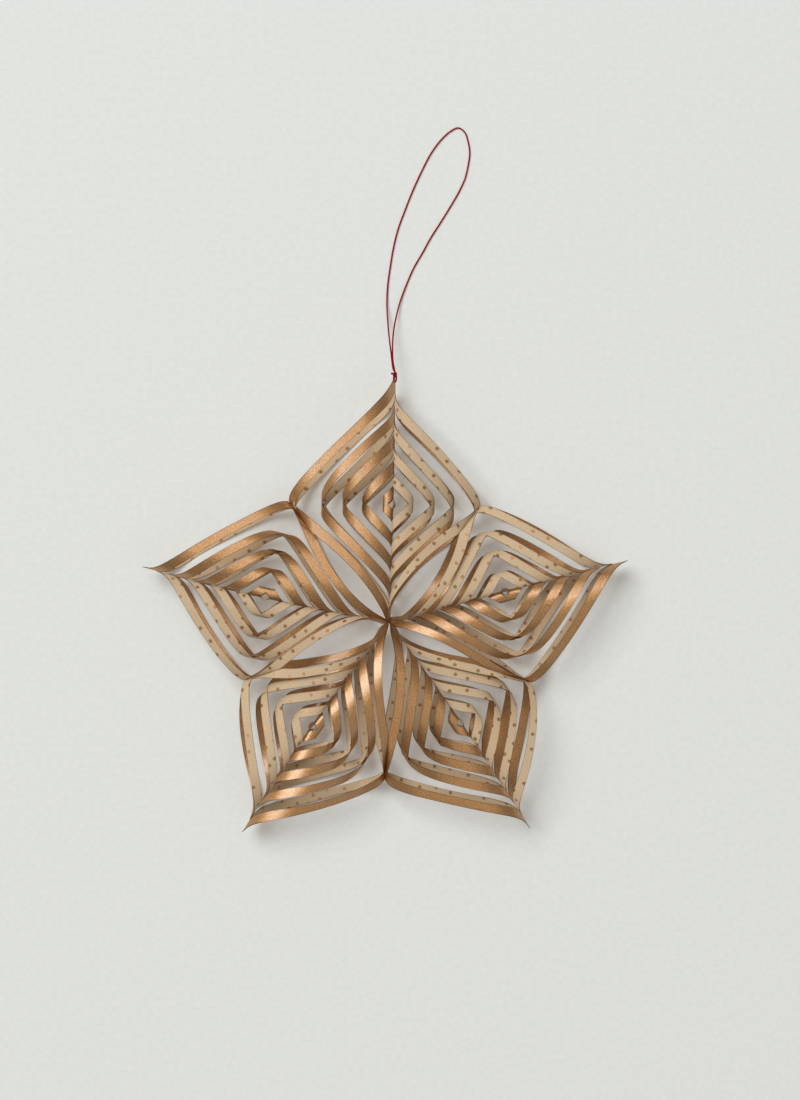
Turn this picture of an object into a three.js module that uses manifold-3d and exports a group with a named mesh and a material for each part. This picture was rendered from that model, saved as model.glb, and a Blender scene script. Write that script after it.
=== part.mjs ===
// Folk star of five slit and curled paper petals, with a red hanging thread.
// Millimetres, +Z up. The star lies on its back with the hub near the middle and one petal along +Y.

import * as THREE from 'three';
import Module from 'manifold-3d';

const wasm = await Module();
wasm.setup();

// The square sheet that every petal is cut from.
const SHEET_SIDE = 80;
const PAPER = 0.35;
const STRIP = 4.2;
const SLIT = 0.3;
const SPINE_WEB = 0.8;

// How a strip leaves the spine and closes at its glued corner: round the root, over its top, along a
// nearly level run, and down over a wide shoulder into the tighter corner.
const ROOT_FLAT = 2.2;
const ROOT_FLAT_SHARE = 0.05;
const ROOT_RADIUS = 8.2;
const ROOT_RADIUS_SHARE = 0.19;
const RUN_START_SLOPE = THREE.MathUtils.degToRad(4);
const RUN_END_SLOPE = THREE.MathUtils.degToRad(10);
const SHOULDER_END_SLOPE = THREE.MathUtils.degToRad(40);
const SHOULDER_SHARE = 2.4;
const CENTRE_CURL_RADIUS = 1.4;
const CENTRE_BLUNT = 1;

// Where petals meet: the glue between two side corners, and the drop in the hub.
const GLUE_THICKNESS = 0.4;
const GLUE_LENGTH = 4.2;
const GLUE_HEIGHT = 3;
const CLEARANCE = 0.3;
const HUB_DROP_RADIUS = 1;
const HUB_DROP_HEIGHT = 6;
const HUB_DROP_FULLNESS = 0.6;
const PRESS_BLEND = 0.8;
const TWIST_SHARPNESS = 12;

// The hanging thread, its eye through the top petal and its knot.
const THREAD = 0.8;
const HOLE_INSET = 2;
const HOLE_RADIUS = 0.7;
const EYE_LENGTH = 3.8;
const EYE_WIDTH = 1.9;
const KNOT_RADIUS = 0.85;
const STUB_LENGTH = 1.4;
const STUB_RISE = THREE.MathUtils.degToRad(45);
const LAY_HEIGHT = THREAD / 2 + 0.05;

// The outermost strips bow away from the hub between the spine and their glued corner, most on the
// side of the hub, where they leave a gap between neighbouring petals. A share of the sheet's side.
const OUTER_BOW = 0.15;

// Petals: direction of the spine clockwise from +Y, which side the outermost strip curls to (1 is
// clockwise), the hub to the outer tip and the bow of the spine to its dotted side as shares of the
// sheet's side, and how far its middle leans outward and clockwise for its height.
const PETALS = [
  { name: 'petal_top', turn: 1.4, bronze: -1, reach: 1.365, bow: 0.006, lean: [0.16, -0.14] },
  { name: 'petal_right', turn: 75.5, bronze: 1, reach: 1.376, bow: 0.004, lean: [0, 0.26] },
  { name: 'petal_lower_right', turn: 145.6, bronze: 1, reach: 1.393, bow: 0.014, lean: [0.22, -0.12] },
  { name: 'petal_lower_left', turn: 215.0, bronze: -1, reach: 1.431, bow: 0.019, lean: [0, -0.28] },
  { name: 'petal_left', turn: 282.6, bronze: 1, reach: 1.413, bow: 0.019, lean: [-0.04, 0.09] },
];

// Glued corners, each after the petal of the same place in the list: direction, distance from the hub
// as a share of the sheet's side, and how far the glued face leans clockwise for its height.
const JOINTS = [
  { name: 'glue_top_right', turn: 38.2, radius: 0.784, lean: 0 },
  { name: 'glue_right', turn: 113.1, radius: 0.819, lean: 0.2 },
  { name: 'glue_bottom', turn: 181.6, radius: 0.84, lean: -0.15 },
  { name: 'glue_left', turn: 248.0, radius: 0.828, lean: -0.15 },
  { name: 'glue_top_left', turn: 320.3, radius: 0.834, lean: 0 },
];

// Route of the thread round the loop and back, chosen by hand: X and Y from the knot, and the share of
// the knot's height at which it runs, 0 where it lies on the table.
const THREAD_ROUTE = [
  [-0.6, 1.5, 1], [-1.1, 4.8, 0.99], [-1.7, 9.3, 0.88], [-2.5, 15.7, 0.62], [-3.3, 23.9, 0.26],
  [-3.7, 32.1, 0.06], [-3.3, 40.3, 0.01], [-2.3, 47.6, 0], [-0.8, 56.7, 0], [1.5, 65.8, 0],
  [4.2, 73.1, 0], [7.4, 81.3, 0], [11.5, 90.4, 0], [16.0, 99.1, 0], [20.6, 105.4, 0],
  [24.7, 109.2, 0], [28.4, 110.9, 0], [31.3, 109.0, 0], [32.9, 104.6, 0], [33.6, 99.5, 0],
  [32.9, 94.1, 0], [31.5, 88.2, 0], [28.8, 82.2, 0], [25.1, 75.8, 0], [20.6, 68.5, 0],
  [16.0, 61.3, 0], [12.5, 54.9, 0], [8.3, 47.6, 0], [5.1, 40.3, 0.01], [2.4, 33.0, 0.06],
  [0.5, 25.7, 0.22], [-0.3, 18.4, 0.5], [-0.3, 11.1, 0.82], [0.3, 4.8, 0.99], [0.6, 1.5, 1],
];

const HALF_DIAGONAL = SHEET_SIDE / Math.SQRT2;
const RING_PITCH = STRIP * Math.SQRT2;
const HALF_SLIT = SLIT / Math.SQRT2;
const RING_COUNT = Math.ceil(HALF_DIAGONAL / RING_PITCH);
const HUB_END = HUB_DROP_RADIUS + CLEARANCE;
const HALF_GAP = GLUE_THICKNESS / 2 + CLEARANCE;

// Facets, and how close two rows of points may lie.
const ROOT_STEPS = 3;
const CORNER_STEPS = 2;
const SMALL_ROOT = 5;
const RUN_FACET = 14;
const LEAST_STEP = 0.3;
const NORMAL_STEP = 0.02;
const NO_WIDTH = 1e-6;
const HOLE_SIDES = 12;
const DAB_SIDES = 16;
const DROP_SIDES = 12;
const DROP_RINGS = 6;
const KNOT_SIDES = 12;
const KNOT_RINGS = 8;
const EYE_STEPS = 20;
const STUB_RINGS = 2;
const THREAD_STEPS = 76;
const THREAD_SIDES = 8;
const WELDS_PER_MM = 1e4;

const BRONZE_PAPER = { color: 0xb5824f, roughness: 0.42, metalness: 0.45 };
const GLUE = { color: 0xd8c7a0, roughness: 0.35, metalness: 0 };
const RED_THREAD = { color: 0x9e2b33, roughness: 0.7, metalness: 0 };

// A ring is the square strip between two nested slits. The first has the sheet's own edge outside.
function ringCut(index) {
  const outer = HALF_DIAGONAL - index * RING_PITCH;
  const outerCut = index === 0 ? 0 : HALF_SLIT;
  return {
    outer: outer - outerCut,
    inner: outer - RING_PITCH + HALF_SLIT,
    isCentre: index === RING_COUNT - 1,
  };
}

// Half a ring seen along the spine, as lengths of paper with their turn and number of facets. It
// starts straight up off the spine and ends straight down at the spine's own height. A small ring is
// spared a facet in its root and in its corner.
function halfLoop(ring) {
  if (ring.isCentre) {
    const length = ring.outer - CENTRE_BLUNT;
    const curl = length - SPINE_WEB;
    return { length, pieces: [[SPINE_WEB, 0, 0], [curl, curl / CENTRE_CURL_RADIUS, CORNER_STEPS]] };
  }
  const length = (ring.outer + ring.inner) / 2;
  const flat = Math.max(SPINE_WEB, Math.min(ROOT_FLAT, ROOT_FLAT_SHARE * length));
  const root = Math.min(ROOT_RADIUS, ROOT_RADIUS_SHARE * length);
  const rise = flat + root * Math.cos(RUN_START_SLOPE);
  const rootTurn = Math.PI / 2 - RUN_START_SLOPE;
  const topTurn = 2 * RUN_START_SLOPE;
  const runTurn = RUN_END_SLOPE - RUN_START_SLOPE;
  const shoulderTurn = SHOULDER_END_SLOPE - RUN_END_SLOPE;
  const cornerTurn = Math.PI / 2 - SHOULDER_END_SLOPE;
  const rest = length - flat - root * (rootTurn + topTurn);
  const fall = (Math.cos(RUN_START_SLOPE) - Math.cos(RUN_END_SLOPE)) / runTurn;
  const shoulderFall = SHOULDER_SHARE * (Math.cos(RUN_END_SLOPE) - Math.cos(SHOULDER_END_SLOPE));
  const cornerFall = Math.cos(SHOULDER_END_SLOPE);
  const bent = SHOULDER_SHARE * shoulderTurn + cornerTurn;
  const corner = (rise - rest * fall) / (shoulderFall + cornerFall - bent * fall);
  const run = rest - corner * bent;
  const spared = root < SMALL_ROOT ? 1 : 0;
  return {
    length,
    pieces: [
      [flat, 0, 0],
      [root * rootTurn, rootTurn, ROOT_STEPS - spared],
      [root * topTurn, topTurn, 1],
      [run, runTurn, Math.ceil(run / RUN_FACET)],
      [SHOULDER_SHARE * corner * shoulderTurn, shoulderTurn, 1],
      [corner * cornerTurn, cornerTurn, CORNER_STEPS - spared],
    ],
  };
}

// Sideways distance and height after a length of paper, walked from the spine.
function alongLoop(loop, distance) {
  let side = 0;
  let height = 0;
  let heading = 0;
  let left = distance;
  for (const [size, turn] of loop.pieces) {
    const bend = turn / size;
    const step = Math.min(left, size);
    const next = heading + step * bend;
    if (bend === 0) {
      side += step * Math.sin(heading);
      height += step * Math.cos(heading);
    } else {
      side += (Math.cos(heading) - Math.cos(next)) / bend;
      height += (Math.sin(next) - Math.sin(heading)) / bend;
    }
    heading = next;
    left -= step;
  }
  return { side, height };
}

// Distances from the spine at which a ring gets a row of points.
function stations(ring, loop) {
  const kept = [SPINE_WEB, loop.length];
  if (ring.inner > SPINE_WEB) {
    kept.push(ring.inner);
  }
  const rows = [...kept];
  let start = 0;
  for (const [size, , steps] of loop.pieces) {
    for (let i = 1; i <= steps; i += 1) {
      const row = start + (size * i) / steps;
      if (kept.every((other) => Math.abs(row - other) > LEAST_STEP) && row > SPINE_WEB) {
        rows.push(row);
      }
    }
    start += size;
  }
  return rows.sort((a, b) => a - b);
}

const RINGS = Array.from({ length: RING_COUNT }, (unused, index) => {
  const ring = ringCut(index);
  const loop = halfLoop(ring);
  return { ...ring, index, loop, rows: stations(ring, loop), reach: alongLoop(loop, loop.length).side };
});

function direction(turn) {
  const angle = THREE.MathUtils.degToRad(turn);
  return new THREE.Vector3(Math.sin(angle), Math.cos(angle), 0);
}

// Each side of a petal is drawn to its glued corner and stays on its own side of the line from the
// hub through that corner.
function petalSides(petal, place) {
  const after = JOINTS[place];
  const before = JOINTS[(place + JOINTS.length - 1) % JOINTS.length];
  const sides = {};
  for (const [side, joint] of [[1, after], [-1, before]]) {
    const turned = THREE.MathUtils.euclideanModulo(side * (joint.turn - petal.turn), 360);
    const angle = THREE.MathUtils.degToRad(turned);
    const radius = joint.radius * SHEET_SIDE;
    sides[side] = {
      angle,
      lean: joint.lean,
      outermost: RINGS[side === petal.bronze ? 0 : 1],
      corner: radius * Math.sin(angle),
      shift: radius * Math.cos(angle) - (petal.tip - HALF_DIAGONAL),
    };
  }
  return sides;
}

// The lesser of the two, rounded where they meet unless there is no blend.
function softMin(value, limit, blend) {
  const least = Math.min(value, limit);
  return blend < NO_WIDTH ? least : least - blend * Math.log1p(Math.exp(-Math.abs(value - limit) / blend));
}

// Where a point of the flat sheet goes: along is measured on the spine from the sheet's middle to
// the outer tip, across is the signed distance from the spine, up on the near half.
function placePoint(petal, ring, along, across) {
  const side = ring.index % 2 === 0 ? petal.bronze : -petal.bronze;
  const { angle, lean, outermost, corner, shift } = petal.sides[side];
  const [leanOut, leanOver] = petal.lean;
  const distance = Math.abs(across);
  const section = alongLoop(ring.loop, distance);
  const height = Math.sign(across) * section.height;
  const share = section.side / outermost.reach;
  const twist = ring === outermost ? angle * (distance / ring.loop.length) ** TWIST_SHARPNESS : 0;
  const middle = 1 - (along / HALF_DIAGONAL) ** 2;
  const stretched = section.side * (1 + (corner / outermost.reach - 1) * share);
  const bow = side * middle * (leanOver * height - petal.bronze * petal.bow * SHEET_SIDE);
  const wide = stretched + along * Math.sin(twist) + bow;
  const hubward = 1 - along / HALF_DIAGONAL;
  const outerBow = ring === outermost ? OUTER_BOW * SHEET_SIDE * hubward * share * (1 - share) : 0;
  const drawn = shift * share * share + outerBow;
  const fromHub = petal.tip - HALF_DIAGONAL + along * Math.cos(twist) + drawn + leanOut * height * middle;
  const kept = side * lean * height - HALF_GAP - PAPER / 2;
  const limit = fromHub * Math.tan(angle) + kept / Math.cos(angle);
  const v = side * softMin(wide, limit, PRESS_BLEND * share);
  const point = petal.out.clone().multiplyScalar(fromHub);
  point.addScaledVector(petal.clockwise, v);
  point.z = height;
  return point;
}

function paperNormal(petal, ring, along, across) {
  const place = (u, q) => placePoint(petal, ring, u, q);
  const up = place(along, across + NORMAL_STEP).sub(place(along, across - NORMAL_STEP));
  const out = place(along + NORMAL_STEP, across).sub(place(along - NORMAL_STEP, across));
  return up.cross(out).normalize();
}

// The first rows of all rings put in order from the hub to the tip.
function spineRow(rows) {
  const centre = rows[rows.length - 1];
  const others = rows.slice(0, -1);
  const hubSide = others.flatMap((row) => row.slice(0, 2));
  const tipSide = [...others].reverse().flatMap((row) => row.slice(2));
  return [...hubSide, ...centre, ...tipSide];
}

// The sheet as a net of points and faces, all in one turning sense. The hub corner is cut off short
// of the drop of glue.
function slitSheet(petal) {
  const points = [];
  const faces = [];
  const hubCut = petal.tip - HALF_DIAGONAL - HUB_END;

  function addPoint(ring, along, across) {
    const kept = Math.max(along, -hubCut);
    points.push({
      place: placePoint(petal, ring, kept, across),
      normal: paperNormal(petal, ring, kept, across),
    });
    return points.length - 1;
  }

  function addRow(ring, distance, half) {
    const outer = ring.outer - distance;
    const inner = ring.inner - distance;
    const alongs = inner > NO_WIDTH ? [-outer, -inner, inner, outer] : [-outer, 0, outer];
    return alongs.map((along) => addPoint(ring, along, half * distance));
  }

  // Faces between two rows, the first nearer the far side of the sheet.
  function join(low, high) {
    if (low.length === high.length) {
      const skip = low.length === 4 ? 1 : -1;
      for (let i = 0; i + 1 < low.length; i += 1) {
        if (i !== skip) {
          faces.push([low[i], high[i], high[i + 1], low[i + 1]]);
        }
      }
      return;
    }
    const wide = low.length > high.length ? low : high;
    const tight = low.length > high.length ? high : low;
    const left = [wide[0], tight[0], tight[1], wide[1]];
    const right = [wide[2], tight[1], tight[2], wide[3]];
    for (const face of [left, right]) {
      faces.push(wide === low ? face : [...face].reverse());
    }
  }

  const roots = [];
  for (const ring of RINGS) {
    const near = ring.rows.map((distance) => addRow(ring, distance, 1));
    const far = ring.rows.map((distance) => addRow(ring, distance, -1));
    if (!ring.isCentre) {
      far[far.length - 1] = near[near.length - 1];
    }
    for (let i = 0; i + 1 < ring.rows.length; i += 1) {
      join(near[i], near[i + 1]);
      join(far[i + 1], far[i]);
    }
    roots.push([far[0], near[0]]);
  }

  // The uncut spine from the hub to the tip, closed by the point of the tip.
  const far = spineRow(roots.map((root) => root[0]));
  const near = spineRow(roots.map((root) => root[1]));
  for (let i = 0; i + 1 < far.length; i += 1) {
    faces.push([far[i], near[i], near[i + 1], far[i + 1]]);
  }
  const tip = addPoint(RINGS[0], RINGS[0].outer, 0);
  faces.push([far[far.length - 1], near[near.length - 1], tip]);
  return { points, faces };
}

// Gives a net of points and faces the thickness of the paper and closes it along its edges.
function thicken({ points, faces }, thickness) {
  const count = points.length;
  const positions = [];
  for (const sign of [1, -1]) {
    for (const { place, normal } of points) {
      positions.push(...place.clone().addScaledVector(normal, (sign * thickness) / 2).toArray());
    }
  }
  const triangles = [];
  const edges = new Map();
  const addPolygon = (corners) => {
    for (let i = 1; i + 1 < corners.length; i += 1) {
      triangles.push(corners[0], corners[i], corners[i + 1]);
    }
  };
  for (const face of faces) {
    addPolygon(face);
    addPolygon(face.map((corner) => corner + count).reverse());
    face.forEach((from, i) => {
      const to = face[(i + 1) % face.length];
      edges.set(`${from}_${to}`, [from, to]);
    });
  }
  for (const [from, to] of edges.values()) {
    if (!edges.has(`${to}_${from}`)) {
      addPolygon([from + count, to + count, to, from]);
    }
  }
  const geometry = new THREE.BufferGeometry();
  geometry.setAttribute('position', new THREE.Float32BufferAttribute(positions, 3));
  geometry.setIndex(triangles);
  return geometry;
}

// Booleans work on indexed solids whose shared corners are merged.
function toSolid(geometry) {
  const welded = new Map();
  const corners = [];
  const position = geometry.getAttribute('position');
  const index = geometry.index ? Array.from(geometry.index.array) : [...Array(position.count).keys()];
  const renamed = Array.from({ length: position.count }, (unused, i) => {
    const point = [position.getX(i), position.getY(i), position.getZ(i)];
    const key = point.map((value) => Math.round(value * WELDS_PER_MM)).join(' ');
    if (!welded.has(key)) {
      welded.set(key, corners.length / 3);
      corners.push(...point);
    }
    return welded.get(key);
  });
  const triangles = [];
  for (let i = 0; i < index.length; i += 3) {
    const [a, b, c] = [renamed[index[i]], renamed[index[i + 1]], renamed[index[i + 2]]];
    if (a !== b && b !== c && c !== a) {
      triangles.push(a, b, c);
    }
  }
  const vertProperties = new Float32Array(corners);
  const triVerts = new Uint32Array(triangles);
  return new wasm.Manifold(new wasm.Mesh({ numProp: 3, vertProperties, triVerts }));
}

function toGeometry(solid) {
  const mesh = solid.getMesh();
  const geometry = new THREE.BufferGeometry();
  geometry.setAttribute('position', new THREE.BufferAttribute(mesh.vertProperties, 3));
  geometry.setIndex(new THREE.BufferAttribute(mesh.triVerts, 1));
  return geometry;
}

function namedMesh(name, geometry, finish) {
  const mesh = new THREE.Mesh(geometry, new THREE.MeshStandardMaterial(finish));
  mesh.name = name;
  return mesh;
}

function makePetal(petal) {
  return thicken(slitSheet(petal), PAPER);
}

// The thread goes sideways through the top petal just inside its tip.
function makeHungPetal(petal, hole) {
  const drill = new THREE.CylinderGeometry(HOLE_RADIUS, HOLE_RADIUS, EYE_WIDTH, HOLE_SIDES);
  drill.rotateY(Math.PI / HOLE_SIDES);
  drill.rotateZ(Math.PI / 2);
  drill.rotateZ(THREE.MathUtils.degToRad(-petal.turn));
  drill.translate(hole.x, hole.y, hole.z);
  return toGeometry(toSolid(makePetal(petal)).subtract(toSolid(drill)));
}

// A pressed oval dab of glue that stands between two side corners, and leans with them.
function makeGlueDab(joint) {
  const dab = new THREE.CylinderGeometry(GLUE_LENGTH / 2, GLUE_LENGTH / 2, GLUE_THICKNESS, DAB_SIDES);
  dab.rotateZ(Math.PI / 2);
  dab.scale(1, 1, GLUE_HEIGHT / GLUE_LENGTH);
  dab.rotateY(Math.atan(joint.lean));
  dab.rotateZ(THREE.MathUtils.degToRad(-joint.turn));
  const centre = direction(joint.turn).multiplyScalar(joint.radius * SHEET_SIDE);
  dab.translate(centre.x, centre.y, 0);
  return dab;
}

function makeHubDrop() {
  const profile = [];
  for (let i = 0; i <= DROP_RINGS; i += 1) {
    const angle = Math.PI * (i / DROP_RINGS - 0.5);
    const isEnd = i === 0 || i === DROP_RINGS;
    const radius = isEnd ? 0 : HUB_DROP_RADIUS * Math.cos(angle) ** HUB_DROP_FULLNESS;
    profile.push(new THREE.Vector2(radius, (HUB_DROP_HEIGHT / 2) * Math.sin(angle)));
  }
  const drop = new THREE.LatheGeometry(profile, DROP_SIDES);
  drop.rotateX(Math.PI / 2);
  return drop;
}

// Long eye through the hole, the knot that closes it and the cut end that stands up beside it.
function makeKnot(hole, knotCentre, top) {
  const eye = new THREE.TorusGeometry(EYE_WIDTH / 2, THREAD / 2, THREAD_SIDES, EYE_STEPS);
  const eyePosition = eye.getAttribute('position');
  for (let i = 0; i < eyePosition.count; i += 1) {
    const angle = Math.atan2(eyePosition.getY(i), eyePosition.getX(i));
    eyePosition.setY(i, eyePosition.getY(i) + Math.sin(angle) * ((EYE_LENGTH - EYE_WIDTH) / 2));
  }
  eye.rotateZ(THREE.MathUtils.degToRad(-top.turn));
  const eyeCentre = hole.clone().addScaledVector(top.out, EYE_LENGTH / 2);
  eye.translate(eyeCentre.x, eyeCentre.y, eyeCentre.z);
  const knot = new THREE.SphereGeometry(KNOT_RADIUS, KNOT_SIDES, KNOT_RINGS);
  knot.translate(knotCentre.x, knotCentre.y, knotCentre.z);
  const stub = new THREE.CapsuleGeometry(THREAD / 2, STUB_LENGTH, STUB_RINGS, THREAD_SIDES);
  const stubWay = top.clockwise.clone().multiplyScalar(-Math.cos(STUB_RISE));
  stubWay.z = Math.sin(STUB_RISE);
  stub.applyQuaternion(new THREE.Quaternion().setFromUnitVectors(THREE.Object3D.DEFAULT_UP, stubWay));
  const stubCentre = knotCentre.clone().addScaledVector(stubWay, (KNOT_RADIUS + STUB_LENGTH) / 2);
  stub.translate(stubCentre.x, stubCentre.y, stubCentre.z);
  return toGeometry(toSolid(eye).add(toSolid(knot)).add(toSolid(stub)));
}

// One tube from the knot round the loop and back, which sinks from the knot to the table.
function makeThread(knotCentre, floor) {
  const laid = floor + LAY_HEIGHT;
  const route = THREAD_ROUTE.map(
    ([x, y, share]) => new THREE.Vector3(knotCentre.x + x, knotCentre.y + y, laid * (1 - share)),
  );
  const section = new THREE.Shape();
  section.absarc(0, 0, THREAD / 2, 0, 2 * Math.PI);
  return new THREE.ExtrudeGeometry(section, {
    steps: THREAD_STEPS,
    curveSegments: THREAD_SIDES / 2,
    extrudePath: new THREE.CatmullRomCurve3(route),
  });
}

PETALS.forEach((petal, place) => {
  petal.out = direction(petal.turn);
  petal.clockwise = direction(petal.turn + 90);
  petal.tip = petal.reach * SHEET_SIDE;
  petal.sides = petalSides(petal, place);
});
const TOP = PETALS[0];
const HOLE = TOP.out.clone().multiplyScalar(TOP.tip - HOLE_INSET);
const KNOT = HOLE.clone().addScaledVector(TOP.out, EYE_LENGTH + KNOT_RADIUS / 2);

const star = new THREE.Group();
for (const petal of PETALS) {
  const geometry = petal === TOP ? makeHungPetal(petal, HOLE) : makePetal(petal);
  star.add(namedMesh(petal.name, geometry, BRONZE_PAPER));
}
for (const joint of JOINTS) {
  star.add(namedMesh(joint.name, makeGlueDab(joint), GLUE));
}
star.add(namedMesh('glue_hub', makeHubDrop(), GLUE));

// The star stands on its lowest strips, with the middle of its outline over the origin.
const outline = new THREE.Box3().setFromObject(star);
const middle = outline.getCenter(new THREE.Vector3());
star.add(namedMesh('thread_knot', makeKnot(HOLE, KNOT, TOP), RED_THREAD));
star.add(namedMesh('thread_loop', makeThread(KNOT, outline.min.z), RED_THREAD));
star.position.set(-middle.x, -middle.y, -outline.min.z);

const group = new THREE.Group();
group.add(star);

export default group;
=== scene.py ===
import math

import bpy
import numpy as np
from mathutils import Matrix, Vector


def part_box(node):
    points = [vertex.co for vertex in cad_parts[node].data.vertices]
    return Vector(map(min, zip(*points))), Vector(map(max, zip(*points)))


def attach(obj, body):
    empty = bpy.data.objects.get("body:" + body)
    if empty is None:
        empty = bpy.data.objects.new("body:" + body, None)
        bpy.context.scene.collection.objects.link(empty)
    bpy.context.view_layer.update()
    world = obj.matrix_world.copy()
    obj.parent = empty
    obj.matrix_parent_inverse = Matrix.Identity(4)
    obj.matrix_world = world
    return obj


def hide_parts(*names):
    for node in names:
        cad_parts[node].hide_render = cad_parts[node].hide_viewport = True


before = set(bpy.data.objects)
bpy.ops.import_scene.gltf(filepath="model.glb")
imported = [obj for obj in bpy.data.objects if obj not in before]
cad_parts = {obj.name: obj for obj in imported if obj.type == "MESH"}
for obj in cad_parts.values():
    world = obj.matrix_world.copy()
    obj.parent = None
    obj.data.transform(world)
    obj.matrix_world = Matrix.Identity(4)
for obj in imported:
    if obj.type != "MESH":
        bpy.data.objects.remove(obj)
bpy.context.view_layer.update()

MM = 0.001
HUB_LOW, HUB_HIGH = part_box("glue_hub")
HUB = Vector([(low + high) / 2 for low, high in zip(HUB_LOW, HUB_HIGH)])

# The sheet that every petal is cut from, as in the solids but for thinner paper and narrower slits.
# SPINE_WEB is how far from the spine the slits stop.
SHEET_SIDE = 80 * MM
STRIP = 4.2 * MM
SLIT = 0.25 * MM
PAPER = 0.26 * MM
SPINE_WEB = 0.8 * MM
HALF_DIAGONAL = SHEET_SIDE / math.sqrt(2)
RING_PITCH = STRIP * math.sqrt(2)
HALF_SLIT = SLIT / math.sqrt(2)
RING_COUNT = math.ceil(HALF_DIAGONAL / RING_PITCH)

# How a strip leaves the spine and closes at its glued corner: round the root, along a nearly level
# run, and down over a wide shoulder into the tighter corner. The root eases into the run: over the
# last of its turn it bends wider by this ratio. The shoulder's radius is a ratio of the corner's.
ROOT_FLAT = 2.2 * MM
ROOT_FLAT_SHARE = 0.05
ROOT_RADIUS = 8.2 * MM
ROOT_RADIUS_SHARE = 0.19
EASE_TURN = math.radians(32)
EASE_RATIO = 2.6
RUN_START_SLOPE = math.radians(4)
RUN_END_SLOPE = math.radians(10)
SHOULDER_END_SLOPE = math.radians(40)
SHOULDER_RATIO = 2.4

# The innermost strip has a tighter root, and the piece in the middle only curls, with a blunt end.
INNERMOST_RADIUS_SHARE = 0.09
CENTRE_CURL_RADIUS = 1.4 * MM
CENTRE_BLUNT = 0.6 * MM

# Where petals meet: how far from the hub's middle their inner corners end, past it where negative,
# how far glued faces stand off the line between two petals, how softly strips bend along it and the
# softness that counts as none, and the powers by which an outermost strip twists to that line and
# loses its bow near its glued corner.
HUB_END = -0.3 * MM
HUB_ENDS = {"petal_left": -1.3 * MM, "petal_lower_left": 0}
HALF_GAP = 0.01 * MM
PRESS_BLEND = 0.12 * MM
NO_BLEND = 1e-7
TWIST_SHARPNESS = 12
CORNER_HOLD = 5

# How far the outermost strips bow away from the hub between the spine and their glued corner, most
# on the side of the hub.
OUTER_BOW = 0.15 * SHEET_SIDE

# How far the hand-curled strips wander sideways from the even section, and the length over which
# that wave turns by a radian. Each petal, strip and half starts it at another place.
WANDER = 0.45 * MM
WANDER_LENGTH = 17 * MM
WANDER_RING_SHIFT = 2.4
WANDER_HALF_SHIFT = 1.3

# How far both halves of a strip are turned about the spine, to the strip's own side, at the sheet's
# outer tip, and how far the whole sheet is rolled at the hub, with its upper half to the side of the
# bronze strips. The top petal's outermost strip is rolled at its tip too, with its upper half to its
# own side. From the tip and the hub these turns fade with powers of the way along the spine.
TIP_OPENS = {
    "petal_top": math.radians(20),
    "petal_right": math.radians(16),
    "petal_lower_right": math.radians(6),
    "petal_lower_left": math.radians(20),
    "petal_left": math.radians(8),
}
HUB_ROLLS = {
    "petal_top": math.radians(20),
    "petal_right": math.radians(44),
    "petal_lower_right": math.radians(38),
    "petal_lower_left": math.radians(42),
    "petal_left": math.radians(36),
}
TIP_ROLLS = {"petal_top": math.radians(25)}
TIP_POWER = 6
HUB_POWER = 7

# The outermost strips, 0 on the side of the bronze strips and 1 on the other, are held upright by
# their glued corners. In some petals they lean less than the other strips, by these shares on their
# outer stretch and on their stretch towards the hub.
OUTERMOST_LEANS = {
    ("petal_top", 0): (0.75, 1.0),
    ("petal_top", 1): (0.35, 0.4),
    ("petal_right", 0): (0.3, 1.0),
    ("petal_right", 1): (0.4, 1.0),
    ("petal_left", 0): (0.2, 0.2),
    ("petal_left", 1): (0.6, 0.6),
}

# How far a petal's upper halves stand out past its lower ones, for their height, on both sides.
SPREADS = {"petal_left": 0.15}

# Petals: direction of the spine clockwise from +Y, which side the outermost, bronze strip curls to
# (1 is clockwise), the hub to the outer tip and the bow of the spine to its dotted side as shares of
# the sheet's side, and how far its middle leans outward and clockwise for its height.
PETALS = [
    {
        "name": "petal_top", "turn": 1.4, "bronze": -1,
        "reach": 1.365, "bow": 0.006, "lean": (0.16, -0.14),
    },
    {
        "name": "petal_right", "turn": 75.5, "bronze": 1,
        "reach": 1.376, "bow": 0.004, "lean": (0, 0.26),
    },
    {
        "name": "petal_lower_right", "turn": 145.6, "bronze": 1,
        "reach": 1.393, "bow": 0.014, "lean": (0.22, -0.12),
    },
    {
        "name": "petal_lower_left", "turn": 215.0, "bronze": -1,
        "reach": 1.431, "bow": 0.019, "lean": (0, -0.28),
    },
    {
        "name": "petal_left", "turn": 282.6, "bronze": 1,
        "reach": 1.413, "bow": 0.019, "lean": (-0.04, 0.05),
    },
]

# Glued corners, each after the petal of the same place in the list: direction, distance from the hub
# as a share of the sheet's side, and how far the glued face leans clockwise for its height.
JOINTS = [
    {"name": "glue_top_right", "turn": 38.2, "radius": 0.784, "lean": 0},
    {"name": "glue_right", "turn": 113.1, "radius": 0.819, "lean": 0.2},
    {"name": "glue_bottom", "turn": 181.6, "radius": 0.84, "lean": -0.15},
    {"name": "glue_left", "turn": 248.0, "radius": 0.828, "lean": -0.15},
    {"name": "glue_top_left", "turn": 320.3, "radius": 0.834, "lean": -0.12},
]

# Points on the sheet: lanes across a strip, the step between rows along its halves, how far before
# the strip's point the rows stop, the gap between a strip's two stretches that counts as none, and
# the step that the surface's direction is measured over.
STRIP_LANES = 2
ROW_STEP = 1.1 * MM
POINT_STOP = 0.25 * MM
NO_GAP = 1e-9
NORMAL_STEP = 0.02 * MM

# Places of the paper's materials in their list.
BRONZE_FACE = 0
PRINTED_FACE = 1
CUT_EDGE = 2

# The space between printed dots, and how far from a slit the painted shade between strips reaches,
# as a share of the strip's width.
DOT_PITCH = 5.8 * MM
SLIT_SHADE_SHARE = 0.1

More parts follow.
